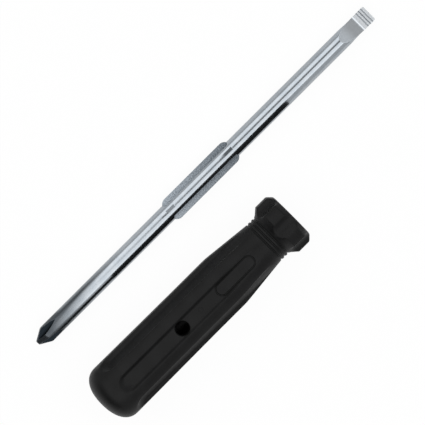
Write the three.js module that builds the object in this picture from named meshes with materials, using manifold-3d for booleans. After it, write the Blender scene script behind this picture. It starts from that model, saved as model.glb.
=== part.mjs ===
// Screwdriver with a reversible double-ended blade, laid out as it is photographed:
// the blade is drawn out of the handle and lies beside it, both on the table.
// Millimetres. +Y runs from the butt of the handle to its nose and from the cross tip to the flat
// tip, +X from the blade to the handle, +Z is up. The origin is on the table, under the middle.
import * as THREE from 'three';
import { mergeVertices, toCreasedNormals } from 'three/addons/utils/BufferGeometryUtils.js';
import Module from 'manifold-3d';

const wasm = await Module();
wasm.setup();

// Blade: one drawn bar with a tip at each end and a pair of pressed wings
const BAR_DIAMETER = 8;
const BLADE_LENGTH = 200;
const WING_START = 79.1; // from the cross tip
const WING_LENGTH = 38.5; // along the bar's side
const WING_WIDTH = 10.8; // over both wings
const WING_THICKNESS = 2.4;
const WING_CORNER = 3.2;
const CROWN_WIDTH = 5.5; // what the press leaves round between the wings
const PRESS_CORNER = 1.2; // plan radius where the press leaves the bar
const BLADE_SIDES = 2; // the blade is alike after half a turn, but for the cross tip
const BLADE_ROLL = -6; // degrees that the blade lies turned about its own axis

// Flat tip
const FLAT_RAMP_LENGTH = 11.6; // from the round bar to the land
const FLAT_RAMP_HOLLOW = 0.9; // how far the ramp is ground below a straight line
const FLAT_LAND_LENGTH = 6;
const FLAT_LAND_THICKNESS = 1.6; // at the foot of the ramp
const FLAT_END_THICKNESS = 1.2;
const FLAT_WIDTH = 7.7;
const FLAT_SIDE_LENGTH = 11.8; // of the straight sides
const FLAT_SIDE_EASE = 2.9; // length over which the sides leave the round bar
const FLAT_CORNER = 0.7;
const BITE_COUNT = 3; // grooves across the land that bite into the screw
const BITE_PITCH = 1.37;
const BITE_WIDTH = 0.7;
const BITE_DEPTH = 0.22;
const BITE_FROM_END = 1.43; // middle of the last groove

// Cross tip
const CROSS_POINT_DIAMETER = 2;
const CROSS_CONE_LENGTH = 5.2;
const CROSS_EDGE = 0.5; // how far the cone's edge is eased
const CROSS_ARM_THICKNESS = 2.1;
const CROSS_FLUTE_COUNT = 4;
const CROSS_FLUTE_LENGTH = 12.6; // to where the flute leaves the bar
const CROSS_FLUTE_LOWEST = 2; // from the point to where the grinding wheel dips lowest
const CROSS_FLUTE_ANGLE = 92; // included angle of the flute, degrees
const CROSS_TURN = 14; // degrees from the wings' normal to the nearest arm

// Socket in the handle
const GAP = 0.3; // between neighbouring pieces
const SLOT_DEPTH = 24; // how far the wings go in
const TIP_CLEARANCE = 1; // left under the inner tip
const BUSH_WALL = 1.5; // outside the corners of the wing slot
const BUSH_TAIL = 6; // behind the spring ring
const RETAINER_BEHIND_SLOT = 3;
const RETAINER_THICKNESS = 1;
const RETAINER_WIDTH = 1.1; // radial
const RETAINER_BITE = 0.1; // how far the ring stands into the bore
const RETAINER_OPENING = 40; // degrees

// Handle
const BUTT_WALL = 6.6; // behind the socket
const BUTT_DIAMETER = 26.4;
const BUTT_ROUND_LENGTH = 8.7;
const BUTT_FULLNESS = 2.3; // exponent of the rounded end: 2 is an ellipse
const WAIST_DIAMETER = 25.8;
const WAIST_LENGTH = 17.5;
const TAPER_LENGTH = 22.4;
const TAPER_EASE = 4; // length over which the waist bends into the taper
const NECK_WALL = 2.4; // between the bush and the ring grooves
const NECK_LAND = 0.45; // plain neck behind the first ring groove
const RING_COUNT = 3;
const RING_PITCH = 1.85;
const RING_WIDTH = 1;
const RING_FLOOR_WIDTH = 0.35;
const RING_DEPTH = 0.45;
const RING_BEHIND_FLARE = 1.25; // from the middle of the last groove to the root of the flare
const FLARE_STEP = 0.4; // from the neck up to the root of the flare
const FLARE_LENGTH = 2.7;
const COLLAR_RISE = 2.35; // from the root of the flare up to the collar
const COLLAR_FROM_NOSE = 8.5;
const COLLAR_EDGE = 0.5;
const NOSE_CHAMFER = 2.35;
const NOSE_EDGE = 0.8; // how far the chamfer's edges are eased
const NOSE_EDGE_DROP = 0.27;
const SIDE_HOLE_DIAMETER = 6.3; // through the upper wall into the bore
const SIDE_HOLE_FROM_NOSE = 66.5;

// Flutes along the grip, and the scallops that carry them on over the collar
const FLUTE_COUNT = 6;
const FLUTE_DEPTH = 1.85; // at the waist
const FLUTE_WIDTH = 6.2; // of the flat floor
const FLUTE_WALL_RUN = 0.63; // sideways, for each millimetre of height
const FLUTE_END_FROM_BUTT = 13.4; // where the floor starts
const FLUTE_END_RUN = 1.1; // of the end ramp, for each millimetre of height
const FLUTE_END_LENGTH = 2.6; // of the floor's rounded end
const SCALLOP_DEPTH = 1.9;
const SCALLOP_RADIUS = 5.3;

// Layout on the table
const AXIS_DISTANCE = 37.05; // from the blade's axis to the handle's
const TIP_BEHIND_BUTT = 1.25; // how far the cross tip lies behind the butt

// Fineness of round faces, and how far a cutter runs past what it cuts
const ROUND_STEPS = 60;
const WHEEL_STEPS = 120;
const CURVE_STEPS = 10;
const EASE_STEPS = 3;
const OVERRUN = 1;
const SAME_POINT = 1e-4;
const CREASE_ANGLE = 25; // degrees from which an edge is shaded sharp

// Sizes that follow from those above
const barRadius = BAR_DIAMETER / 2;
const socketRadius = barRadius + GAP;
const slotHalfWidth = WING_WIDTH / 2 + GAP;
const slotHalfHeight = WING_THICKNESS / 2 + GAP;
const afterWings = BLADE_LENGTH - WING_START - WING_LENGTH;
const socketDepth = SLOT_DEPTH + Math.max(WING_START, afterWings) + TIP_CLEARANCE;
const retainerBack = SLOT_DEPTH + RETAINER_BEHIND_SLOT + RETAINER_THICKNESS;
const bushLength = retainerBack + BUSH_TAIL;
const bushRadius = Math.hypot(slotHalfWidth, slotHalfHeight) + BUSH_WALL;
const handleLength = socketDepth + BUTT_WALL;
const buttRadius = BUTT_DIAMETER / 2;
const waistRadius = WAIST_DIAMETER / 2;
const neckRadius = bushRadius + GAP + NECK_WALL + RING_DEPTH;
const flareRadius = neckRadius + FLARE_STEP;
const collarRadius = flareRadius + COLLAR_RISE;
const flareRoot = -COLLAR_FROM_NOSE - FLARE_LENGTH;
const firstRing = flareRoot - RING_BEHIND_FLARE - RING_PITCH * (RING_COUNT - 1);
const taperEnd = firstRing - RING_WIDTH / 2 - NECK_LAND;
const taperStart = taperEnd - TAPER_LENGTH;
const fluteFloor = waistRadius - FLUTE_DEPTH;

const radians = THREE.MathUtils.degToRad;

// Turn a closed three.js geometry into a solid that can be joined and cut
function solid(geometry) {
  const bare = new THREE.BufferGeometry();
  bare.setAttribute('position', geometry.getAttribute('position').clone());
  bare.setIndex(geometry.index ? geometry.index.clone() : null);
  const merged = mergeVertices(bare, SAME_POINT);
  const corners = merged.index.array;
  const triVerts = [];
  for (let i = 0; i < corners.length; i += 3) {
    const [a, b, c] = corners.slice(i, i + 3);
    if (a !== b && b !== c && c !== a) triVerts.push(a, b, c);
  }
  return new wasm.Manifold(new wasm.Mesh({
    numProp: 3,
    vertProperties: new Float32Array(merged.getAttribute('position').array),
    triVerts: new Uint32Array(triVerts),
  }));
}

// Turn a solid into a named mesh with its own finish
function piece(name, shape, finish) {
  const mesh = shape.getMesh();
  const geometry = new THREE.BufferGeometry();
  geometry.setAttribute('position', new THREE.BufferAttribute(new Float32Array(mesh.vertProperties), 3));
  geometry.setIndex(new THREE.BufferAttribute(new Uint32Array(mesh.triVerts), 1));
  const creased = toCreasedNormals(geometry, radians(CREASE_ANGLE));
  const result = new THREE.Mesh(creased, new THREE.MeshStandardMaterial(finish));
  result.name = name;
  return result;
}

// Revolve [radius, y] pairs, listed from low to high y, about the Y axis
function revolve(points, steps = ROUND_STEPS) {
  return new THREE.LatheGeometry(points.map(([r, y]) => new THREE.Vector2(r, y)), steps);
}

// A round bar along Y between two heights
function rod(radius, from, to, steps = ROUND_STEPS) {
  return revolve([[0, from], [radius, from], [radius, to], [0, to]], steps);
}

// Extrude a shape drawn in X and Y from one height to another along Z
function slab(shape, from, to, curveSegments = CURVE_STEPS) {
  const options = { depth: to - from, bevelEnabled: false, curveSegments };
  return new THREE.ExtrudeGeometry(shape, options).translate(0, 0, from);
}

// A rectangle with rounded corners
function roundedRectangle(left, right, bottom, top, corner) {
  const quarter = Math.PI / 2;
  const shape = new THREE.Shape();
  shape.absarc(right - corner, bottom + corner, corner, -quarter, 0, false);
  shape.absarc(right - corner, top - corner, corner, 0, quarter, false);
  shape.absarc(left + corner, top - corner, corner, quarter, 2 * quarter, false);
  shape.absarc(left + corner, bottom + corner, corner, 2 * quarter, 3 * quarter, false);
  return shape;
}

// Join two outlines of as many points, one at each height, by straight walls
function loft(lower, lowerHeight, upper, upperHeight) {
  const geometry = slab(new THREE.Shape(lower), 0, 1);
  const position = geometry.getAttribute('position');
  const point = new THREE.Vector2();
  for (let i = 0; i < position.count; i++) {
    point.set(position.getX(i), position.getY(i));
    const raised = position.getZ(i) > 0;
    const distances = lower.map((corner) => corner.distanceToSquared(point));
    const corner = distances.indexOf(Math.min(...distances));
    const to = raised ? upper[corner] : lower[corner];
    position.setXYZ(i, to.x, to.y, raised ? upperHeight : lowerHeight);
  }
  return geometry;
}

// Cut copies of a geometry, spaced evenly about the Y axis, out of a solid
function cutAround(shape, cutter, count, turn = 0) {
  let rest = shape;
  for (let k = 0; k < count; k++) {
    rest = rest.subtract(solid(cutter.clone().rotateY(turn + (2 * Math.PI * k) / count)));
  }
  return rest;
}

// The rounded butt: a quarter of a superellipse
function buttPoints() {
  const points = [[0, -handleLength]];
  for (let k = 1; k <= CURVE_STEPS; k++) {
    const turn = (Math.PI / 2) * (k / CURVE_STEPS);
    const out = Math.sin(turn) ** (2 / BUTT_FULLNESS);
    const along = k < CURVE_STEPS ? Math.cos(turn) ** (2 / BUTT_FULLNESS) : 0;
    points.push([buttRadius * out, -handleLength + BUTT_ROUND_LENGTH * (1 - along)]);
  }
  return points;
}

// The straight waist and its bend into the taper: a parabola
function waistPoints() {
  const points = [[waistRadius, taperStart - WAIST_LENGTH]];
  const slope = (waistRadius - neckRadius) / TAPER_LENGTH;
  for (let k = 0; k <= EASE_STEPS; k++) {
    const share = k / EASE_STEPS;
    const drop = (slope * TAPER_EASE * share * share) / 2;
    points.push([waistRadius - drop, taperStart + TAPER_EASE * (share - 0.5)]);
  }
  return points;
}

// The neck with its ring grooves
function neckPoints() {
  const points = [[neckRadius, taperEnd]];
  for (let k = 0; k < RING_COUNT; k++) {
    const middle = firstRing + RING_PITCH * k;
    points.push([neckRadius, middle - RING_WIDTH / 2]);
    points.push([neckRadius - RING_DEPTH, middle - RING_FLOOR_WIDTH / 2]);
    points.push([neckRadius - RING_DEPTH, middle + RING_FLOOR_WIDTH / 2]);
    points.push([neckRadius, middle + RING_WIDTH / 2]);
  }
  return points;
}

// The collar: a flare, a straight side and a chamfer down to the flat nose
function collarPoints() {
  const faceRadius = collarRadius - NOSE_CHAMFER;
  return [
    [flareRadius, flareRoot],
    [collarRadius - COLLAR_EDGE, -COLLAR_FROM_NOSE - COLLAR_EDGE / 2],
    [collarRadius, -COLLAR_FROM_NOSE + COLLAR_EDGE],
    [collarRadius, -NOSE_CHAMFER - NOSE_EDGE],
    [collarRadius - NOSE_EDGE_DROP, -NOSE_CHAMFER],
    [faceRadius + NOSE_EDGE_DROP, -NOSE_EDGE],
    [faceRadius - NOSE_EDGE_DROP, 0],
    [0, 0],
  ];
}

// Outline of a flute at a height over its floor: a lane with a rounded end towards the butt
function fluteOutline(height) {
  const half = FLUTE_WIDTH / 2 + FLUTE_WALL_RUN * height;
  const floorStart = FLUTE_END_FROM_BUTT - handleLength;
  const straightStart = floorStart + FLUTE_END_LENGTH;
  const endLength = FLUTE_END_LENGTH + FLUTE_END_RUN * height;
  const outline = [new THREE.Vector2(half, taperEnd), new THREE.Vector2(-half, taperEnd)];
  for (let k = 0; k <= CURVE_STEPS; k++) {
    const turn = Math.PI * (k / CURVE_STEPS);
    const across = -half * Math.cos(turn);
    outline.push(new THREE.Vector2(across, straightStart - endLength * Math.sin(turn)));
  }
  return outline;
}

// The grip: a revolve with flutes, scallops, a stepped bore and a hole into it, nose at y = 0
function gripShape() {
  const outline = [...buttPoints(), ...waistPoints(), ...neckPoints(), ...collarPoints()];
  const wallHeight = Math.max(buttRadius, waistRadius) - fluteFloor + OVERRUN;
  const flute = loft(fluteOutline(0), fluteFloor, fluteOutline(wallHeight), fluteFloor + wallHeight);
  const scallop = rod(SCALLOP_RADIUS, flareRoot, OVERRUN, ROUND_STEPS / 2)
    .translate(0, 0, collarRadius - SCALLOP_DEPTH + SCALLOP_RADIUS);
  const sideHole = rod(SIDE_HOLE_DIAMETER / 2, 0, BUTT_DIAMETER)
    .rotateX(Math.PI / 2)
    .translate(0, -SIDE_HOLE_FROM_NOSE, 0);
  let grip = solid(revolve(outline));
  grip = cutAround(grip, flute, FLUTE_COUNT);
  grip = cutAround(grip, scallop, FLUTE_COUNT);
  grip = grip.subtract(solid(rod(bushRadius + GAP, -bushLength, OVERRUN)));
  grip = grip.subtract(solid(rod(socketRadius, -socketDepth, -bushLength + OVERRUN)));
  return grip.subtract(solid(sideHole));
}

// The hard bush in the nose, with the wing slot and the groove for the spring ring
function bushShape() {
  const slot = new THREE.Shape();
  slot.moveTo(-slotHalfWidth, -SLOT_DEPTH);
  slot.lineTo(slotHalfWidth, -SLOT_DEPTH);
  slot.lineTo(slotHalfWidth, OVERRUN);
  slot.lineTo(-slotHalfWidth, OVERRUN);
  const grooveRadius = socketRadius + RETAINER_WIDTH + GAP;
  const grooveFront = -retainerBack + RETAINER_THICKNESS + GAP;
  const bush = solid(rod(bushRadius, -bushLength, 0));
  return bush
    .subtract(solid(rod(socketRadius, -bushLength - OVERRUN, OVERRUN)))
    .subtract(solid(slab(slot, -slotHalfHeight, slotHalfHeight)))
    .subtract(solid(rod(grooveRadius, -retainerBack, grooveFront)));
}

// The open spring ring that grips the bar
function retainerShape() {
  const inner = socketRadius - RETAINER_BITE;
  const outer = inner + RETAINER_WIDTH;
  const from = Math.PI / 2 + radians(RETAINER_OPENING / 2);
  const to = (5 * Math.PI) / 2 - radians(RETAINER_OPENING / 2);
  const shape = new THREE.Shape();
  shape.absarc(0, 0, outer, from, to, false);
  shape.absarc(0, 0, inner, to, from, true);
  const ring = slab(shape, 0, RETAINER_THICKNESS, ROUND_STEPS / 2);
  return solid(ring.rotateX(-Math.PI / 2).translate(0, -retainerBack, 0));
}

// Side view, in Y and Z, of what is ground off one face of the flat tip
function flatFaceWaste() {
  const landStart = BLADE_LENGTH - FLAT_LAND_LENGTH;
  const rampStart = landStart - FLAT_RAMP_LENGTH;
  const landHalf = FLAT_LAND_THICKNESS / 2;
  const endHalf = FLAT_END_THICKNESS / 2;
  const fall = (landHalf - endHalf) / FLAT_LAND_LENGTH;
  const shape = new THREE.Shape();
  shape.moveTo(rampStart, barRadius);
  const middle = (rampStart + landStart) / 2;
  const middleHeight = (barRadius + landHalf) / 2 - FLAT_RAMP_HOLLOW;
  shape.quadraticCurveTo(middle, middleHeight, landStart, landHalf);
  for (let k = BITE_COUNT - 1; k >= 0; k--) {
    const groove = BLADE_LENGTH - BITE_FROM_END - BITE_PITCH * k;
    const height = landHalf - fall * (groove - landStart);
    shape.lineTo(groove - BITE_WIDTH / 2, height);
    shape.lineTo(groove, height - BITE_DEPTH);
    shape.lineTo(groove + BITE_WIDTH / 2, height);
  }
  shape.lineTo(BLADE_LENGTH, endHalf);
  shape.lineTo(BLADE_LENGTH + OVERRUN, endHalf);
  shape.lineTo(BLADE_LENGTH + OVERRUN, barRadius + OVERRUN);
  shape.lineTo(rampStart, barRadius + OVERRUN);
  return shape;
}

// Plan of what is ground off one side of the flat tip
function flatSideWaste() {
  const start = BLADE_LENGTH - FLAT_SIDE_LENGTH;
  const half = FLAT_WIDTH / 2;
  const corner = half - FLAT_CORNER;
  const shape = new THREE.Shape();
  shape.moveTo(barRadius, start - FLAT_SIDE_EASE);
  shape.lineTo(barRadius + OVERRUN, start - FLAT_SIDE_EASE);
  shape.lineTo(barRadius + OVERRUN, BLADE_LENGTH + OVERRUN);
  shape.lineTo(corner, BLADE_LENGTH + OVERRUN);
  shape.lineTo(corner, BLADE_LENGTH);
  shape.absarc(corner, BLADE_LENGTH - FLAT_CORNER, FLAT_CORNER, Math.PI / 2, 0, true);
  shape.lineTo(half, start);
  return shape;
}

// The rim of the wheel that grinds one flute of the cross tip, dipping in from +Z
function crossFluteWheel() {
  const floor = CROSS_ARM_THICKNESS / 2 / Math.sin(Math.PI / CROSS_FLUTE_COUNT);
  const rise = barRadius - floor;
  const reach = CROSS_FLUTE_LENGTH - CROSS_FLUTE_LOWEST;
  const radius = (reach * reach + rise * rise) / (2 * rise);
  const depth = barRadius + OVERRUN;
  const half = depth * Math.tan(radians(CROSS_FLUTE_ANGLE / 2));
  const rim = [[0, -half], [radius - depth, -half], [radius, 0], [radius - depth, half], [0, half]];
  return revolve(rim, WHEEL_STEPS)
    .rotateZ(Math.PI / 2)
    .translate(0, CROSS_FLUTE_LOWEST, floor + radius);
}

// Outline of the bar: a blunt cone at the cross tip, then round to the other end
function barPoints() {
  const pointRadius = CROSS_POINT_DIAMETER / 2;
  const rise = barRadius - pointRadius;
  const easeDown = (CROSS_EDGE * rise) / Math.hypot(rise, CROSS_CONE_LENGTH);
  const easeBack = (CROSS_EDGE * CROSS_CONE_LENGTH) / Math.hypot(rise, CROSS_CONE_LENGTH);
  return [
    [0, 0],
    [pointRadius, 0],
    [barRadius - easeDown, CROSS_CONE_LENGTH - easeBack],
    [barRadius, CROSS_CONE_LENGTH + CROSS_EDGE],
    [barRadius, BLADE_LENGTH],
    [0, BLADE_LENGTH],
  ];
}

// Plan of both wings as one plate, whose corners start inside the bar
function wingPlan() {
  const half = WING_WIDTH / 2;
  const inside = Math.max(0, barRadius - half + WING_CORNER);
  const hidden = WING_CORNER - Math.sqrt(WING_CORNER ** 2 - inside ** 2);
  const start = WING_START - hidden;
  return roundedRectangle(-half, half, start, WING_START + WING_LENGTH + hidden, WING_CORNER);
}

// Plan of what the press takes off the bar beside the crown, over one wing
function pressPlan() {
  const outer = barRadius + OVERRUN + PRESS_CORNER;
  return roundedRectangle(CROWN_WIDTH / 2, outer, WING_START, WING_START + WING_LENGTH, PRESS_CORNER);
}

// The blade along Y, with its cross tip at y = 0 and its wings flat in the XY plane
function bladeShape() {
  const alongSide = new THREE.Matrix4().makeBasis(
    new THREE.Vector3(0, 1, 0),
    new THREE.Vector3(0, 0, 1),
    new THREE.Vector3(1, 0, 0),
  );
  const faceWaste = slab(flatFaceWaste(), -BAR_DIAMETER, BAR_DIAMETER).applyMatrix4(alongSide);
  const sideWaste = slab(flatSideWaste(), -BAR_DIAMETER, BAR_DIAMETER);
  const thickHalf = WING_THICKNESS / 2;
  const press = slab(pressPlan(), thickHalf, barRadius + OVERRUN);
  const underPress = slab(pressPlan(), -barRadius - OVERRUN, -thickHalf);
  const firstFlute = radians(CROSS_TURN) + Math.PI / CROSS_FLUTE_COUNT;
  let blade = solid(revolve(barPoints()));
  blade = cutAround(blade, crossFluteWheel(), CROSS_FLUTE_COUNT, firstFlute);
  for (const cutter of [faceWaste, sideWaste, press, underPress]) {
    blade = cutAround(blade, cutter, BLADE_SIDES);
  }
  return blade.add(solid(slab(wingPlan(), -thickHalf, thickHalf)));
}

const blackPlastic = { color: 0x1c1c1e, roughness: 0.5, metalness: 0 };
const turnedSteel = { color: 0x8a8a8c, roughness: 0.4, metalness: 1 };
const springSteel = { color: 0x6e7074, roughness: 0.35, metalness: 1 };
const chrome = { color: 0xd8d8da, roughness: 0.12, metalness: 1 };

// The layout is centred over the origin and stands on the table
const roll = radians(BLADE_ROLL);
const wingReach = (WING_WIDTH / 2) * Math.cos(roll) + (WING_THICKNESS / 2) * Math.sin(Math.abs(roll));
const bladeX = (wingReach - AXIS_DISTANCE - collarRadius) / 2;

const handle = new THREE.Group();
handle.add(
  piece('handle_grip', gripShape(), blackPlastic),
  piece('socket_bush', bushShape(), turnedSteel),
  piece('retaining_ring', retainerShape(), springSteel),
);
const buttY = -BLADE_LENGTH / 2 + TIP_BEHIND_BUTT;
handle.position.set(bladeX + AXIS_DISTANCE, buttY + handleLength, buttRadius);

const blade = piece('blade', bladeShape(), chrome);
blade.rotation.y = roll;
blade.position.set(bladeX, -BLADE_LENGTH / 2, barRadius);

const screwdriver = new THREE.Group();
screwdriver.add(handle, blade);
export default screwdriver;
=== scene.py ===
"""Reversible screwdriver: a fluted black handle with its double-ended blade drawn out and laid beside it.

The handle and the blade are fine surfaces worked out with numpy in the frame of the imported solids, which they
replace. The bush and the spring ring in the handle's nose stay as packed and get finishes of their own.
Lengths are in millimetres until a grid is put into a mesh.
"""

import bpy
import numpy as np
from mathutils import Matrix


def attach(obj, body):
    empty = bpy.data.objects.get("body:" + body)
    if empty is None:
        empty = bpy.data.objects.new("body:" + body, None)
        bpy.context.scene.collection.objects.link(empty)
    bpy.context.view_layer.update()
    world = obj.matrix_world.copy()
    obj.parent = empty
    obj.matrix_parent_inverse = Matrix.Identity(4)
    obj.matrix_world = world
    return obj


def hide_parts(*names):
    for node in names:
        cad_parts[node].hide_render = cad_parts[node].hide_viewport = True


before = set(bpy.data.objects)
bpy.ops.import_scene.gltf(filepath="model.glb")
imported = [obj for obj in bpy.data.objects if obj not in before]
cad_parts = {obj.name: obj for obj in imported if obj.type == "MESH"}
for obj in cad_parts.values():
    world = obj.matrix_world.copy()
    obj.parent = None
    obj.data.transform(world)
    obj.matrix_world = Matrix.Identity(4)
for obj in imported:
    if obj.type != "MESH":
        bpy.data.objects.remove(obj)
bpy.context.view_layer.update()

MM = 0.001
FAR = 99.0

# Where the two pieces lie
HANDLE_X, NOSE_Y, HANDLE_Z = 14.626, 15.25, 13.2
BLADE_X, CROSS_TIP_Y, BLADE_Z = -22.424, -100.0, 4.0
BLADE_ROLL = np.radians(-6.0)

# Handle, measured back from its nose
HANDLE_LENGTH = 114.0
BUTT_RADIUS, BUTT_ROUND, BUTT_FULLNESS = 13.2, 8.7, 2.3
WAIST_RADIUS, WAIST_START, TAPER_START, TAPER_END, TAPER_EASE = 12.9, -57.0, -39.5, -17.1, 4.0
NECK_RADIUS, FLARE_RADIUS, COLLAR_RADIUS = 10.544, 10.944, 13.294
FLARE_ROOT, FLARE_END, NOSE_CHAMFER = -11.2, -8.5, 2.35
RING_MIDDLES, RING_WIDTH, RING_FLOOR, RING_DEPTH = (-16.15, -14.3, -12.45), 1.0, 0.35, 0.45
FLUTE_FLOOR, FLUTE_WIDTH, FLUTE_WALL_RUN = 11.05, 6.2, 0.63
FLUTE_STRAIGHT, FLUTE_END_LENGTH, FLUTE_END_RUN = -98.0, 2.6, 1.1
SCALLOP_AXIS, SCALLOP_RADIUS = 16.694, 5.3
BUSH_BORE, BUSH_DEPTH, SOCKET_RADIUS, SOCKET_DEPTH = 7.694, 34.0, 4.3, 107.4
HOLE_RADIUS, HOLE_Y, HOLE_RIM, HOLE_TOP = 3.15, -66.5, 0.3, 16.0
FLUTE_FILLET, CREST_ROUND, SCALLOP_FILLET = 1.8, 1.5, 0.8
EDGE_EASE, COLLAR_EASE, EASE_CHANGE, FINE_STEP = 0.24, 0.9, -6.0, 0.02
LABEL_Y, LABEL_RUN, LABEL_HALF, MARK_Y, MARK_RADIUS = -35.0, 7.85, 2.75, -55.5, 1.0

# Blade, measured from its cross tip
BAR, BLADE_LENGTH = 4.0, 200.0
WING_START, WING_END, WING_HALF, WING_THICK, WING_CORNER = 79.1, 117.6, 5.4, 1.2, 3.2
CROWN_HALF, PRESS_CORNER = 2.75, 1.2
POINT_RADIUS, CONE_LENGTH = 1.0, 5.2
CORE_RADIUS, WHEEL_RADIUS, WHEEL_LOWEST, FLUTE_COT, CROSS_TURN = 1.485, 23.6, 2.0, 0.9657, 14.0
RAMP_START, LAND_START, LAND_HALF, END_HALF, RAMP_MIDDLE = 182.4, 194.0, 0.8, 0.6, 1.5
FLAT_HALF, FLAT_CORNER, SIDE_START, SIDE_EASE = 3.85, 0.7, 188.2, 2.9
BITES, BITE_WIDTH, BITE_DEPTH = (195.83, 197.2, 198.57), 0.7, 0.22
FLAT_WAIST, FLAT_WAIST_Y, FLAT_WAIST_RUN = 0.12, 190.6, 2.4
DENTS = ((78.4, 83.0, 0.45), (112.1, 117.6, 0.8))  # start, end and how much the dent is darkened
DENT_TURN, DENT_DEPTH, DENT_REACH = np.radians(-7.6), 3.93, 0.17
BLACK_REACH, BLACK_UPPER, BLACK_FADE, BLACK_LEVEL = 32.0, 22.0, 24.0, 0.83
CROSS_END, CROSS_TO_WING, WING_TO_FLAT = 20.0, (15.0, 73.0), (123.0, 178.0)

# Finish of the blade along the frame's Y: the wings' grey runs light to dark, and the tip's painted ridge
# highlight
WING_LIGHT_Y, WING_DARK_Y, RIDGE_Y = -20.0, 18.0, 93.6

# Rows of the grids as spans of start, end and step, and the columns between the edges of the blade's quarter
HANDLE_ROWS = ((-105.2, -95.5, 0.28), (-95.5, -71.0, 2.0), (-71.0, -62.0, 0.45), (-62.0, -40.0, 1.6),
               (-40.0, -17.2, 0.45), (-17.2, -11.2, 0.11), (-11.2, -7.6, 0.16), (-7.6, -4.0, 0.9),
               (-4.0, -0.6, 0.22))
BLADE_ROWS = ((0.0, 5.0, 0.2), (5.0, 14.0, 0.3), (14.0, 78.4, 3.2), (78.4, 83.2, 0.12), (83.2, 113.6, 2.2),
              (113.6, 118.4, 0.12), (118.4, 182.2, 3.2), (182.2, 187.0, 0.16), (187.0, 194.4, 0.3),
              (194.4, 199.3, 0.07), (199.3, 199.88, 0.06))
BLADE_COLUMNS = (20, 12, 14, 8)


def smooth_min(a, b, soft):
    """The lesser of a and b, with the ridge where they cross rounded over the width soft."""
    return np.minimum(a, b) - np.maximum(soft - np.abs(a - b), 0.0) ** 2 / (4.0 * soft)


def smooth_max(a, b, soft):
    """The greater of a and b, with the valley where they cross filled over the width soft."""
    return -smooth_min(-a, -b, soft)


def steps(*spans):
    """One rising array out of spans (start, end, step), each without its last point, then the last end."""
    parts = [np.arange(a, b - 1e-6, (b - a) / max(1, round((b - a) / s))) for a, b, s in spans]
    return np.concatenate(parts + [[spans[-1][1]]])


def ring_mesh(name, grid, attributes=()):
    """A closed skin over a grid of rings, row by row; the first and last rows are poles.

    Neighbouring rings are joined by quads, each pole by a fan. The faces are turned round if the signed
    volume, a sixth of the sum of corner . (corner x corner) over the triangles, comes out negative.
    """
    rows, columns = grid.shape[:2]
    rings = grid[1:-1].reshape(-1, 3)
    index = np.arange(len(rings)).reshape(rows - 2, columns)
    beside = np.roll(index, -1, axis=1)
    quads = np.stack([index[:-1], beside[:-1], beside[1:], index[1:]], axis=-1).reshape(-1, 4)
    first, last = len(rings), len(rings) + 1
    fans = np.concatenate([
        np.stack([np.full(columns, first), beside[0], index[0]], axis=-1),
        np.stack([np.full(columns, last), index[-1], beside[-1]], axis=-1),
    ])
    points = np.concatenate([rings, grid[:1, 0], grid[-1:, 0]]) * MM
    triangles = np.concatenate([quads[:, :3], quads[:, [0, 2, 3]], fans])
    a, b, c = points[triangles].transpose(1, 0, 2)
    if np.einsum("ij,ij->", a, np.cross(b, c)) < 0:
        quads, fans = quads[:, ::-1], fans[:, ::-1]
    mesh = bpy.data.meshes.new(name)
    mesh.vertices.add(len(points))
    mesh.vertices.foreach_set("co", points.ravel())
    corners = np.concatenate([quads.ravel(), fans.ravel()])
    mesh.loops.add(len(corners))
    mesh.loops.foreach_set("vertex_index", corners.astype(np.int32))
    starts = np.concatenate([np.arange(len(quads)) * 4, 4 * len(quads) + np.arange(len(fans)) * 3])
    mesh.polygons.add(len(starts))
    mesh.polygons.foreach_set("loop_start", starts.astype(np.int32))
    mesh.update(calc_edges=True)
    for label, field in attributes:
        values = np.concatenate([field[1:-1].ravel(), field[:1, 0], field[-1:, 0]])
        mesh.attributes.new(label, "FLOAT", "POINT").data.foreach_set("value", values.astype(np.float32))
    mesh.validate()
    return mesh


def finish_mesh(mesh, sharp_degrees):
    """Smooth shading with sharp edges from an angle on."""
    mesh.polygons.foreach_set("use_smooth", np.ones(len(mesh.polygons), dtype=bool))
    mesh.set_sharp_from_angle(angle=np.radians(sharp_degrees))


def place(name, mesh):
    """A new object at the origin that holds a mesh."""
    piece = bpy.data.objects.new(name, mesh)
    bpy.context.scene.collection.objects.link(piece)
    return piece


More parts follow.
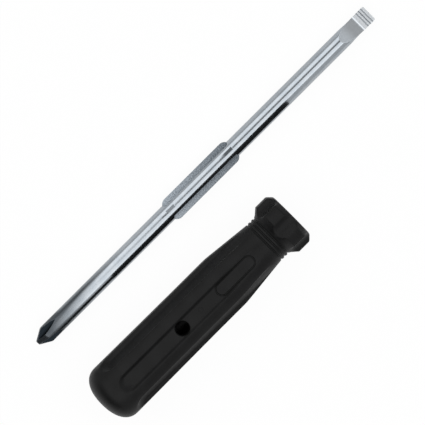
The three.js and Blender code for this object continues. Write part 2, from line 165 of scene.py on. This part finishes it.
def handle_outline(y):
    """Radius of the handle before it is fluted: a superellipse at the butt, then straight pieces and ring
    grooves, averaged over a short window so that every edge is eased, more so on the front of the collar."""
    fine = np.arange(-HANDLE_LENGTH, 2.0, FINE_STEP)
    knots = [-HANDLE_LENGTH, WAIST_START, 0.0]
    body = np.interp(fine, knots, [BUTT_RADIUS + 0.05, WAIST_RADIUS, WAIST_RADIUS])
    slope = (WAIST_RADIUS - NECK_RADIUS) / (TAPER_END - TAPER_START)
    into = np.clip(fine - TAPER_START + TAPER_EASE / 2, 0.0, None)
    drop = np.where(into < TAPER_EASE, into**2 / (2 * TAPER_EASE), into - TAPER_EASE / 2)
    body = np.maximum(body - slope * drop, NECK_RADIUS)
    away = np.abs(fine[:, None] - np.array(RING_MIDDLES))
    groove = np.clip((RING_WIDTH / 2 - away) / (RING_WIDTH / 2 - RING_FLOOR / 2), 0.0, 1.0).max(axis=1)
    body = body - RING_DEPTH * groove
    knots = [RING_MIDDLES[-1] + RING_WIDTH / 2, FLARE_ROOT, FLARE_END, -NOSE_CHAMFER, 2.0]
    radii = [NECK_RADIUS, FLARE_RADIUS, COLLAR_RADIUS, COLLAR_RADIUS, COLLAR_RADIUS - NOSE_CHAMFER - 2.0]
    body = np.where(fine < knots[0], body, np.interp(fine, knots, radii))

    def eased(half_width):
        count = int(half_width / FINE_STEP)
        window = np.hanning(2 * count + 1)
        padded = np.pad(body, count, mode="edge")
        return np.convolve(padded, window / window.sum(), mode="valid")

    smooth = np.where(fine > EASE_CHANGE, eased(COLLAR_EASE), eased(EDGE_EASE))
    depth = np.clip(1 - (y + HANDLE_LENGTH) / BUTT_ROUND, 0.0, 1.0)
    butt = (1 - depth**BUTT_FULLNESS) ** (1 / BUTT_FULLNESS)
    return np.interp(y, fine, smooth) * butt


def flute_surface(delta, y):
    """Distance from the axis to a flute's surface on a ray delta away from the flute's middle.

    The flute at a height h over its floor is a lane of half width width/2 + run h, which ends towards the
    butt in half an ellipse of length end + end_run h. The ray enters it where (x/half)^2 + (past/end)^2 = 1,
    which is found by halving; the flat floor is blended in.
    """
    past = np.maximum(FLUTE_STRAIGHT - y, 0.0)
    low = (FLUTE_FLOOR - 1.5) / np.cos(delta)
    high = np.full_like(low, 17.0)

    def inside(radius):
        height = radius * np.cos(delta) - FLUTE_FLOOR
        half = FLUTE_WIDTH / 2 + FLUTE_WALL_RUN * height
        end = FLUTE_END_LENGTH + FLUTE_END_RUN * height
        return (radius * np.sin(delta) / half) ** 2 + (past / end) ** 2 <= 1.0

    missed = ~inside(high)
    for _ in range(24):
        middle = (low + high) / 2
        hit = inside(middle)
        high = np.where(hit, middle, high)
        low = np.where(hit, low, middle)
    surface = smooth_max(FLUTE_FLOOR / np.cos(delta), high, FLUTE_FILLET)
    return np.where(missed, FAR, surface)


def scallop_surface(delta):
    """Distance from the axis to a scallop on the collar: where the ray meets a cylinder beside the collar."""
    reach = SCALLOP_RADIUS**2 - (SCALLOP_AXIS * np.sin(delta)) ** 2
    near = SCALLOP_AXIS * np.cos(delta) - np.sqrt(np.maximum(reach, 0.0))
    return np.where(reach > 0, near, FAR)


def handle_grid():
    """The handle as rings round its axis: out along the outline with flutes and scallops cut in, over the
    nose by a short curve, and back down the stepped socket to its floor."""
    swing = np.cos(np.linspace(0.04, np.pi / 2, 26))
    round_butt = -HANDLE_LENGTH + BUTT_ROUND * (1 - swing ** (2 / BUTT_FULLNESS))
    y = np.concatenate([round_butt, steps(*HANDLE_ROWS)])
    face = COLLAR_RADIUS - NOSE_CHAMFER
    u = np.linspace(0.0, 1.0, 8)[1:]
    lip_r = (1 - u) ** 2 * (face + 0.5) + 2 * u * (1 - u) * face + u**2 * (face - 0.7)
    lip_y = -((1 - u) ** 2) * 0.5
    socket_r = np.array([8.6, BUSH_BORE + 0.15, BUSH_BORE, BUSH_BORE, SOCKET_RADIUS, SOCKET_RADIUS])
    socket_y = np.array([0.0, 0.0, -0.15, -BUSH_DEPTH, -BUSH_DEPTH, -SOCKET_DEPTH])
    half = np.radians(np.concatenate([
        np.linspace(0.0, 13.0, 9)[:-1], np.linspace(13.0, 21.0, 15)[:-1], np.linspace(21.0, 30.0, 6)[:-1]]))
    sector = np.concatenate([half, np.radians(60.0) - half[:0:-1], [np.radians(30.0)]])
    sector = np.sort(sector)
    theta = (np.radians(60.0) * np.arange(6)[:, None] + sector).ravel()
    delta = (theta + np.radians(30.0)) % np.radians(60.0) - np.radians(30.0)
    rows, columns = np.meshgrid(y, delta, indexing="ij")
    radius = np.repeat(handle_outline(y)[:, None], len(delta), axis=1)
    round_off = CREST_ROUND * np.clip((TAPER_END - rows) / 10.0, 0.05, 1.0)
    fluted = smooth_min(radius, flute_surface(columns, rows), round_off)
    scalloped = smooth_min(radius, scallop_surface(columns), SCALLOP_FILLET)
    radius = np.where(rows < TAPER_END, fluted, np.where(rows > FLARE_ROOT, scalloped, radius))
    inner_r = np.concatenate([lip_r, socket_r])
    inner_y = np.concatenate([lip_y, socket_y])
    radius = np.concatenate([np.zeros((1, len(theta))), radius, inner_r[:, None] * np.ones(len(theta)),
                             np.zeros((1, len(theta)))])
    along = np.concatenate([[-HANDLE_LENGTH], y, inner_y, [-SOCKET_DEPTH]])[:, None] * np.ones(len(theta))
    x, z = HANDLE_X + radius * np.sin(theta), HANDLE_Z + radius * np.cos(theta)
    return np.stack([x, NOSE_Y + along, z], axis=-1)


def hole_grid():
    """The drill for the side hole: a rod from the axis up through the wall, wider over the flute's floor."""
    z = np.array([0.0, 0.0, FLUTE_FLOOR - HOLE_RIM, FLUTE_FLOOR + 0.02, HOLE_TOP, HOLE_TOP])
    wide = HOLE_RADIUS + HOLE_RIM
    radius = np.array([0.0, HOLE_RADIUS, HOLE_RADIUS, wide, wide, 0.0])
    turn = np.linspace(0.0, 2 * np.pi, 97)[:-1]
    r, t = np.meshgrid(radius, turn, indexing="ij")
    return np.stack([HANDLE_X + r * np.cos(t), NOSE_Y + HOLE_Y + r * np.sin(t),
                     HANDLE_Z + z[:, None] * np.ones(len(turn))], axis=-1)


def make_handle():
    """The handle's skin with the side hole drilled into the socket."""
    handle = place("handle", ring_mesh("handle", handle_grid()))
    drill = place("drill", ring_mesh("drill", hole_grid()))
    cut = handle.modifiers.new("side_hole", "BOOLEAN")
    cut.object = drill
    cut.operation = "DIFFERENCE"
    cut.solver = "EXACT"
    drilled = bpy.data.meshes.new_from_object(handle.evaluated_get(bpy.context.evaluated_depsgraph_get()))
    handle.modifiers.clear()
    whole = handle.data
    handle.data = drilled
    bpy.data.meshes.remove(whole)
    bpy.data.objects.remove(drill)
    finish_mesh(drilled, 38.0)
    return handle


def cross_flute_depth(y):
    """Distance from the axis to the bottom of a flute of the cross tip: the arc of the grinding wheel."""
    reach = np.clip(y - WHEEL_LOWEST, -WHEEL_RADIUS, WHEEL_RADIUS)
    return CORE_RADIUS + WHEEL_RADIUS - np.sqrt(WHEEL_RADIUS**2 - reach**2)


def bar_outline(y):
    """Radius of the bar: a cone from the blunt point up to the full bar, with its edge eased."""
    cone = POINT_RADIUS + (BAR - POINT_RADIUS) * y / CONE_LENGTH
    return smooth_min(cone, np.full_like(y, BAR), 0.35)


def wing_half(y):
    """Half the width over the wings: a plate with corner arcs that start inside the bar; 0 off it."""
    hidden = WING_CORNER - np.sqrt(WING_CORNER**2 - (BAR - WING_HALF + WING_CORNER) ** 2)
    inside = np.minimum(y - WING_START + hidden, WING_END + hidden - y)
    corner = np.clip(WING_CORNER - inside, 0.0, WING_CORNER)
    return np.where(inside > 0, WING_HALF - WING_CORNER + np.sqrt(WING_CORNER**2 - corner**2), 0.0)


def crown_half(y):
    """Half the width of the round crown that the press leaves: it widens to the bar by an arc at each end."""
    inside = np.minimum(y - WING_START, WING_END - y)
    corner = np.clip(PRESS_CORNER - inside, 0.0, PRESS_CORNER)
    return np.where(inside > 0, CROWN_HALF + PRESS_CORNER - np.sqrt(PRESS_CORNER**2 - corner**2), FAR)


def flat_half_thickness(y):
    """Half the thickness of the flat tip: a hollow ramp, a parabola, then the land with its grooves."""
    u = np.clip((y - RAMP_START) / (LAND_START - RAMP_START), 0.0, 1.0)
    ramp = (1 - u) ** 2 * BAR + 2 * u * (1 - u) * RAMP_MIDDLE + u**2 * LAND_HALF
    land = np.interp(y, [LAND_START, BLADE_LENGTH], [LAND_HALF, END_HALF])
    bite = np.clip(1 - np.abs(y[..., None] - np.array(BITES)) / (BITE_WIDTH / 2), 0.0, 1.0).max(axis=-1)
    return np.where(y < RAMP_START, FAR, np.where(y < LAND_START, ramp, land - BITE_DEPTH * bite))


def flat_half_width(y):
    """Half the width of the flat tip: it leaves the bar by a slope, is a little waisted by a bell
    curve and ends in round corners."""
    side = np.interp(y, [SIDE_START - SIDE_EASE, SIDE_START], [BAR, FLAT_HALF])
    waist = FLAT_WAIST * np.exp(-(((y - FLAT_WAIST_Y) / FLAT_WAIST_RUN) ** 2))
    corner = np.clip(y - BLADE_LENGTH + FLAT_CORNER, 0.0, FLAT_CORNER)
    return side - waist - FLAT_CORNER + np.sqrt(FLAT_CORNER**2 - corner**2)


def blade_angles(y):
    """Angles of the columns on each ring, from the crown towards the wing, and the turn of its pattern.

    A quarter is split at three edges: of the arm and the flute at the cross tip, of the crown, the wall and
    the wing beside the press, of the face and the side at the flat tip. Points crowd towards the edges by a
    cosine, and every other quarter is mirrored.
    """
    depth = np.minimum(cross_flute_depth(y), FAR)
    share = np.clip(depth / np.maximum(bar_outline(y), depth), 0.0, 1.0)
    arm = np.arccos(share / np.hypot(1, FLUTE_COT)) - np.arctan(FLUTE_COT)
    arm = np.radians(45.0) - np.clip(arm, np.radians(9.0), None)
    cross = np.stack([arm, np.full_like(y, np.radians(45.0)), np.radians(90.0) - arm], axis=-1)
    wide = np.maximum(wing_half(y), 3.95)
    crown = np.minimum(crown_half(y), 3.5)
    wing = np.stack([np.arctan2(crown, np.sqrt(BAR**2 - crown**2)), np.arctan2(crown, WING_THICK),
                     np.arctan2(wide, WING_THICK)], axis=-1)
    wing[:, 1] = np.minimum(wing[:, 1], wing[:, 2] - 0.06)
    wing[:, 0] = np.minimum(wing[:, 0], wing[:, 1] - 0.06)
    edge = np.arctan2(flat_half_width(y), np.minimum(flat_half_thickness(y), BAR))
    flat = edge[:, None] * np.array([0.5, 0.8, 1.0])
    to_wing = np.interp(y, CROSS_TO_WING, (0.0, 1.0))[:, None]
    to_flat = np.interp(y, WING_TO_FLAT, (0.0, 1.0))[:, None]
    keys = (cross * (1 - to_wing) + wing * to_wing) * (1 - to_flat) + flat * to_flat
    keys = np.concatenate([np.zeros((len(y), 1)), keys, np.full((len(y), 1), np.pi / 2)], axis=1)
    quarter = np.concatenate([
        low[:, None] + (high - low)[:, None] * (1 - np.cos(np.pi * np.arange(n) / n)) / 2
        for low, high, n in zip(keys.T[:-1], keys.T[1:], BLADE_COLUMNS)], axis=1)
    mirrored = np.concatenate([np.full((len(y), 1), 0.0), np.pi / 2 - quarter[:, :0:-1]], axis=1)
    ring = np.concatenate([quarter, np.pi / 2 + mirrored, np.pi + quarter, 1.5 * np.pi + mirrored], axis=1)
    turn = np.radians(CROSS_TURN) * (1 - to_wing)
    return ring + turn, turn


def blade_radius(psi, turn, y):
    """Distance from the axis to the blade's skin on a ray psi away from the crown's middle.

    Bar, cross flutes, press, dents and flat tip are each the least of some surfaces, and the wings' plate is
    joined by the greatest: a V flute with its bottom at depth a is r = a / (cos - cot |sin|), and a plane at
    a distance d is r = d / cos or d / sin.
    """
    sine = np.maximum(np.abs(np.sin(psi)), 1e-6)
    cosine = np.maximum(np.abs(np.cos(psi)), 1e-6)
    bar = bar_outline(y)
    off = (psi - turn) % (np.pi / 2) - np.pi / 4
    opening = np.cos(off) - FLUTE_COT * np.abs(np.sin(off))
    flute = np.where(opening > 0.02, cross_flute_depth(y) / np.maximum(opening, 0.02), FAR)
    skin = np.where(y < CROSS_END, smooth_min(bar, flute, 0.1), bar)
    crown = crown_half(y)
    pressed = smooth_max(WING_THICK / cosine, np.minimum(crown, BAR) / sine, 0.22)
    skin = np.where(crown < BAR, smooth_min(skin, pressed, 0.14), skin)
    dent = DENT_DEPTH / np.maximum(np.cos(psi - DENT_TURN), 0.3)
    for first, last, _ in DENTS:
        skin = np.where((y > first) & (y < last), smooth_min(skin, dent, 0.02), skin)
    wide = wing_half(y)
    plate = smooth_min(wide / sine, WING_THICK / cosine, 0.3)
    skin = np.where(wide > 0.5, np.maximum(skin, plate), skin)
    tip = smooth_min(flat_half_thickness(y) / cosine, flat_half_width(y) / sine, 0.12)
    return np.where(y > RAMP_START - 0.1, np.minimum(skin, tip), skin)


def blade_grid():
    """The blade as rings along its bar, turned by its roll and laid in its place, and three masks on the
    same grid: blasted press faces, ground tip faces, and how far cross tip and dents are blackened."""
    y = steps(*BLADE_ROWS)
    psi, turn = blade_angles(y)
    along = np.repeat(y[:, None], psi.shape[1], axis=1)
    radius = blade_radius(psi, turn, along)
    shrink = np.array([0.985, 0.955, 0.9, 0.5, 0.0])[:, None]
    level = np.ones(psi.shape[1])
    lift = np.array([199.95, 199.985, BLADE_LENGTH, BLADE_LENGTH, BLADE_LENGTH])[:, None] * level
    blunt = np.array([0.0, 0.45, 0.85])[:, None]
    start = np.zeros((len(blunt), 1)) * level
    radius = np.concatenate([blunt * radius[:1], radius, shrink * radius[-1:]])
    along = np.concatenate([start, along, lift])
    first, last = np.repeat(psi[:1], len(blunt), axis=0), np.repeat(psi[-1:], len(shrink), axis=0)
    psi = np.concatenate([first, psi, last])
    x, z = radius * np.sin(psi), radius * np.cos(psi)
    in_press = (along > WING_START) & (along < WING_END)
    wall = np.minimum(crown_half(along), BAR)
    blasted = in_press & (np.abs(x) > wall - 0.02) & (np.abs(z) < WING_THICK + 0.45)
    blasted |= (np.abs(x) > BAR + 0.02)
    ground = (along > RAMP_START) & (np.abs(np.abs(z) - flat_half_thickness(along)) < 0.05)
    side = x / BAR
    reach = BLACK_REACH + BLACK_UPPER * np.clip((-side - 0.1) / 0.55, 0.0, 1.0)
    fringe = 1.0 - 0.55 * np.clip((-side - 0.7) / 0.2, 0.0, 1.0) * (along > 14.0)
    black = BLACK_LEVEL * fringe * np.clip((reach - along) / BLACK_FADE, 0.0, 1.0)
    black = np.where((along < 13.0) & (radius < bar_outline(along) - 0.06), 1.0, black)
    in_dent = (np.abs(x / BAR - np.sin(DENT_TURN)) < DENT_REACH) & (z > 0)
    # Each dent is coloured darker by its third number.
    for first, last, darkening in DENTS:
        black = np.where(in_dent & (along > first) & (along < last), darkening, black)
    c, s = np.cos(BLADE_ROLL), np.sin(BLADE_ROLL)
    grid = np.stack([BLADE_X + c * x + s * z, CROSS_TIP_Y + along, BLADE_Z - s * x + c * z], axis=-1)
    return grid, (("blasted", blasted.astype(float)), ("ground", ground.astype(float)), ("black", black))


class Wire:
    """A socket that carries a number: arithmetic with numbers and other wires adds Math nodes."""

    def __init__(self, finish, socket):
        self.finish, self.socket = finish, socket

    def math(self, operation, first, second):
        """One Math node."""
        return self.finish.node("ShaderNodeMath", {"operation": operation}, {0: first, 1: second})

    def __add__(self, other):
        return self.math("ADD", self, other)

    def __sub__(self, other):
        return self.math("SUBTRACT", self, other)

    def __rsub__(self, other):
        return self.math("SUBTRACT", other, self)

    def __mul__(self, other):
        return self.math("MULTIPLY", self, other)

    def __pow__(self, other):
        return self.math("POWER", self, other)

    __radd__, __rmul__ = __add__, __mul__

    def least(self, other):
        return self.math("MINIMUM", self, other)

    def most(self, other):
        return self.math("MAXIMUM", self, other)

    def size(self):
        return self.math("ABSOLUTE", self, 0.0)

    def rise(self, low, high):
        """0 below low, 1 above high, and a smooth step between them."""
        ends = {"Value": self, "From Min": low, "From Max": high}
        return self.finish.node("ShaderNodeMapRange", {"interpolation_type": "SMOOTHSTEP"}, ends)


class Finish:
    """A node material: node() adds any node, and surface() feeds the shader."""

    def __init__(self, name, owner=None):
        self.material = owner or bpy.data.materials.new(name)
        self.material.use_nodes = True
        self.tree = self.material.node_tree
        self.shader = self.tree.nodes.get("Principled BSDF")

    def join(self, socket, value):
        """A wire is linked to the socket, and a constant is set on it."""
        if isinstance(value, Wire):
            self.tree.links.new(value.socket, socket)
        else:
            socket.default_value = value

    def node(self, kind, settings, sockets, output=0):
        """Any node: its settings come first, then the values or wires of its sockets."""
        added = self.tree.nodes.new(kind)
        for key, value in settings.items():
            setattr(added, key, value)
        for key, value in sockets.items():
            self.join(added.inputs[key], value)
        return Wire(self, added.outputs[output])

    def place(self):
        """Object coordinates in millimetres."""
        spot = self.node("ShaderNodeTexCoord", {}, {}, "Object")
        return self.node("ShaderNodeVectorMath", {"operation": "SCALE"}, {0: spot, "Scale": 1 / MM})

    def axes(self, vector):
        split = self.node("ShaderNodeSeparateXYZ", {}, {0: vector})
        return [Wire(self, out) for out in split.socket.node.outputs]

    def stretched(self, vector, scale):
        return self.node("ShaderNodeVectorMath", {"operation": "MULTIPLY"}, {0: vector, 1: scale})

    def noise(self, vector, scale, detail=3.0, roughness=0.5):
        return self.node("ShaderNodeTexNoise", {}, {
            "Vector": vector, "Scale": scale, "Detail": detail, "Roughness": roughness}, "Fac")

    def mask(self, label):
        return self.node("ShaderNodeAttribute", {"attribute_name": label}, {}, "Fac")

    def mix(self, factor, first, second):
        blend = self.node("ShaderNodeMix", {"data_type": "RGBA"}, {0: factor}, 2)
        self.join(blend.socket.node.inputs[6], first)
        self.join(blend.socket.node.inputs[7], second)
        return blend

    def bump(self, height, distance, strength):
        return self.node("ShaderNodeBump", {}, {"Height": height, "Distance": distance, "Strength": strength})

    def surface(self, **sockets):
        for key, value in sockets.items():
            self.join(self.shader.inputs[key.replace("_", " ")], value)
        return self.material


def grey(level, tint=0.0):
    """A grey with a slight cast: blue above 0, warm below."""
    return (level * (1 - tint), level, level * (1 + tint), 1.0)


def moulded_plastic():
    """Satin black plastic: fine spark-eroded grain, faint mottling, the bare label panel framed by an engraved
    line on the upper flute with painted shade in it, a round ejector mark and a parting line along both sides."""
    f = Finish("moulded_plastic")
    spot = f.place()
    x, y, z = f.axes(spot)
    across, along, height = x - HANDLE_X, y - NOSE_Y, z - HANDLE_Z
    grain = f.noise(spot, 3.2, 4.0, 0.6)
    cloud = f.noise(spot, 0.12, 3.0)
    panel_run = ((along - LABEL_Y).size() - LABEL_RUN).most(0.0)
    edge = (panel_run * panel_run + across * across) ** 0.5 - LABEL_HALF
    upper = height.rise(9.0, 9.4)
    line = (1.0 - edge.size().rise(0.12, 0.42)) * upper
    panel = (1.0 - edge.rise(-0.25, 0.05)) * upper
    mark_run = along - MARK_Y
    mark_off = (mark_run * mark_run + across * across) ** 0.5 - MARK_RADIUS
    mark = (1.0 - mark_off.size().rise(0.05, 0.2)) * upper
    seam = (1.0 - height.size().rise(0.05, 0.16)) * along.rise(-112.0, -108.0)
    relief = grain * (0.03 + 0.03 * panel) - line * 0.35 - panel * 0.12 - mark * 0.06 + seam * 0.05
    colour = f.mix(cloud.rise(0.35, 0.7), grey(0.0035, 0.02), grey(0.0055, 0.02))
    # Painted shade: the engraved line is coloured darker, as if shade lay in the groove.
    colour = f.mix(line * 0.8, colour, grey(0.002))
    return f.surface(
        Base_Color=colour,
        Roughness=0.34 + 0.12 * grain + 0.06 * cloud,
        Specular_IOR_Level=0.135,
        Normal=f.bump(relief, MM, 0.9),
    )


def plated_bar():
    """Polished plating with fine polishing lines along the bar, blasted grey press faces, mottled and lighter
    towards the cross tip's end, ground tip faces with lines across them, painted shade in their grooves and a
    painted highlight along their ridge, a blackened cross tip."""
    f = Finish("plated_bar")
    spot = f.place()
    along = f.axes(spot)[1]
    blasted, ground, black = f.mask("blasted"), f.mask("ground"), f.mask("black")
    lines = f.noise(f.stretched(spot, (9.0, 0.12, 9.0)), 1.0, 4.0, 0.6)
    across = f.noise(f.stretched(spot, (0.5, 14.0, 0.5)), 1.0, 4.0, 0.6)
    peen = f.noise(spot, 2.6, 3.0, 0.6)
    cloud = f.noise(spot, 0.25, 3.0)
    dull = blasted.most(ground)
    hollow = along.rise(84.0, 90.0) * (1.0 - along.rise(92.6, 93.6))
    # Painted highlight: a bright line of colour along the tip's ridge.
    ridge = 1.0 - (along - RIDGE_Y).size().rise(0.05, 0.55)
    # Painted shade: the three grooves across the land are coloured darker.
    near = [(along - bite - CROSS_TIP_Y).size() for bite in BITES]
    groove = 1.0 - near[0].least(near[1]).least(near[2]).rise(0.1, 0.45)
    # The press faces' grey runs from light near the cross tip to dark towards the flat tip.
    wing_gradient = (along - WING_DARK_Y) * (1 / (WING_LIGHT_Y - WING_DARK_Y))
    tip = f.mix(hollow, f.mix(along.rise(93.6, 94.4), grey(0.4, 0.07), grey(0.52, 0.04)), grey(0.27, 0.05))
    # The ridge's painted highlight and the grooves' painted shade are mixed into the tip's colour.
    tip = f.mix(groove * 0.7, f.mix(ridge, tip, grey(0.78, 0.05)), grey(0.26, 0.1))
    wing = f.mix((0.5 * peen.rise(0.3, 0.7) + 0.5 * wing_gradient).rise(0.0, 1.0), grey(0.11, 0.14), grey(0.36, 0.1))
    colour = f.mix(cloud.rise(0.3, 0.7), grey(0.38, 0.09), grey(0.42, 0.07))
    colour = f.mix(blasted, f.mix(ground, colour, tip), wing)
    colour = f.mix(black, colour, grey(0.015, 0.25))
    relief = lines * (1.0 - dull) * 0.002 + across * ground * 0.006 + peen * blasted * 0.05
    return f.surface(
        Base_Color=colour,
        Metallic=1.0,
        Roughness=0.12 + 0.08 * lines + 0.24 * ground + 0.38 * blasted + 0.18 * black,
        Normal=f.bump(relief, MM, 0.8),
    )


def turned_steel(name, level, rough):
    """Plain turned steel: rings left by the tool, with a few darker oily clouds."""
    f = Finish(name)
    spot = f.place()
    rings = f.noise(f.stretched(spot, (0.3, 12.0, 0.3)), 1.0, 3.0)
    cloud = f.noise(spot, 0.6, 3.0)
    return f.surface(
        Base_Color=f.mix(cloud.rise(0.35, 0.7), grey(level * 0.7), grey(level)),
        Metallic=1.0,
        Roughness=rough + 0.15 * rings,
        Normal=f.bump(rings, MM, 0.02),
    )


def white_table():
    """The table: nearly white to the camera and in reflections, with a trace of the real shade of what lies
    on it."""
    f = Finish("white_table")
    rays = f.node("ShaderNodeLightPath", {}, {}, "Is Camera Ray").socket.node.outputs
    mirrored = Wire(f, rays["Is Glossy Ray"]).most(Wire(f, rays["Is Transmission Ray"]))
    seen = (0.95 * Wire(f, rays["Is Camera Ray"])).most(0.3 * mirrored)
    f.surface(Base_Color=grey(0.75), Roughness=0.9, Specular_IOR_Level=0.0)
    glow = f.node("ShaderNodeEmission", {}, {"Color": grey(1.0), "Strength": 1.0})
    both = f.node("ShaderNodeMixShader", {}, {0: seen, 2: glow})
    f.tree.links.new(f.shader.outputs[0], both.socket.node.inputs[1])
    f.tree.links.new(both.socket, f.tree.nodes["Material Output"].inputs["Surface"])
    return f.material


def set_material(piece, material):
    """One material in place of whatever a piece has."""
    piece.data.materials.clear()
    piece.data.materials.append(material)


handle = make_handle()
set_material(handle, moulded_plastic())
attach(handle, "handle")
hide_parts("handle_grip")

grid, masks = blade_grid()
blade = place("double_ended_blade", ring_mesh("double_ended_blade", grid, masks))
finish_mesh(blade.data, 40.0)
set_material(blade, plated_bar())
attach(blade, "blade")
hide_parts("blade")

for node, material in (("socket_bush", turned_steel("turned_steel", 0.42, 0.3)),
                       ("retaining_ring", turned_steel("spring_steel", 0.3, 0.25))):
    set_material(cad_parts[node], material)

table_mesh = bpy.data.meshes.new("table")
table_mesh.from_pydata([(-6, -6, 0), (6, -6, 0), (6, 6, 0), (-6, 6, 0)], [], [(0, 1, 2, 3)])
table = place("table", table_mesh)
set_material(table, white_table())


def panel(name, sides, ends, height, radiance):
    """A soft box that hangs level over the table, between two angles off plumb towards the handle's side and
    between two places along the blade, in metres."""
    x0, x1 = height * np.tan(np.radians(sides))
    y0, y1 = ends
    lamp = bpy.data.lights.new(name, "AREA")
    lamp.shape = "RECTANGLE"
    lamp.size, lamp.size_y = x1 - x0, y1 - y0
    lamp.energy = 4.0 * (x1 - x0) * (y1 - y0) * radiance
    box = bpy.data.objects.new(name, lamp)
    box.location = ((x0 + x1) / 2, (y0 + y1) / 2, height)
    box.visible_camera = False
    bpy.context.scene.collection.objects.link(box)


panel("left_box", (-66.0, -25.0), (-2.0, 2.0), 1.7, 0.85)
panel("right_box", (-4.5, 38.0), (-2.0, 2.0), 1.7, 1.1)
panel("end_box", (-25.0, -4.5), (-2.0, -0.07), 1.7, 1.1)


def card(name, x, corners):
    """A black card stood up beside the blade: it shows in the plating only, as a dark band along its lower
    flank, and is clear from behind."""
    mesh = bpy.data.meshes.new(name)
    mesh.from_pydata([(x * MM, y * MM, z * MM) for y, z in corners], [], [(0, 1, 2, 3)])
    flag = place(name, mesh)
    f = Finish(name)
    f.surface(Base_Color=grey(0.02), Roughness=0.9, Specular_IOR_Level=0.0)
    behind = f.node("ShaderNodeNewGeometry", {}, {}, "Backfacing")
    clear = f.node("ShaderNodeBsdfTransparent", {}, {})
    both = f.node("ShaderNodeMixShader", {}, {0: behind, 2: clear})
    f.tree.links.new(f.shader.outputs[0], both.socket.node.inputs[1])
    f.tree.links.new(both.socket, f.tree.nodes["Material Output"].inputs["Surface"])
    set_material(flag, f.material)
    for ray in ("camera", "diffuse", "shadow", "transmission", "volume_scatter"):
        setattr(flag, "visible_" + ray, False)


card("black_card", -8.0, ((-58.0, 1.5), (-58.0, 23.5), (49.0, 28.0), (49.0, 1.5)))


def room():
    """The room round the table: light near the horizon, dark overhead and towards the butt of the handle."""
    world = bpy.data.worlds.new("room")
    world.use_nodes = True
    f = Finish("sky", world)
    _, y, z = f.axes(f.node("ShaderNodeTexCoord", {}, {}, "Generated"))
    level = (0.72 - 0.43 * z.rise(0.8, 0.97)) * (0.15 + 0.85 * y.rise(-0.95, -0.25))
    f.join(f.tree.nodes["Background"].inputs["Color"], level)
    bpy.context.scene.world = world


room()

LEAN, AXIS_TURN, DISTANCE, LENS = np.radians(6.0), np.radians(44.91), 1.2, 237.3
target = np.array([-9.125, -7.7, 4.0]) * MM
back = np.array([-np.sin(LEAN), 0.0, np.cos(LEAN)])
side = np.array([np.cos(LEAN), 0.0, np.sin(LEAN)])
along = np.array([0.0, 1.0, 0.0])
right = along * np.cos(AXIS_TURN) + side * np.sin(AXIS_TURN)
up = along * np.sin(AXIS_TURN) - side * np.cos(AXIS_TURN)
camera = bpy.data.objects.new("camera", bpy.data.cameras.new("camera"))
camera.data.lens = LENS
camera.data.sensor_width = 36.0
camera.data.clip_start = 0.05
camera.data.clip_end = 50.0
pose = np.eye(4)
pose[:3] = np.column_stack([right, up, back, target + DISTANCE * back])
camera.matrix_world = Matrix(pose.tolist())
bpy.context.scene.collection.objects.link(camera)
bpy.context.scene.camera = camera

bpy.context.scene.view_settings.view_transform = "Standard"
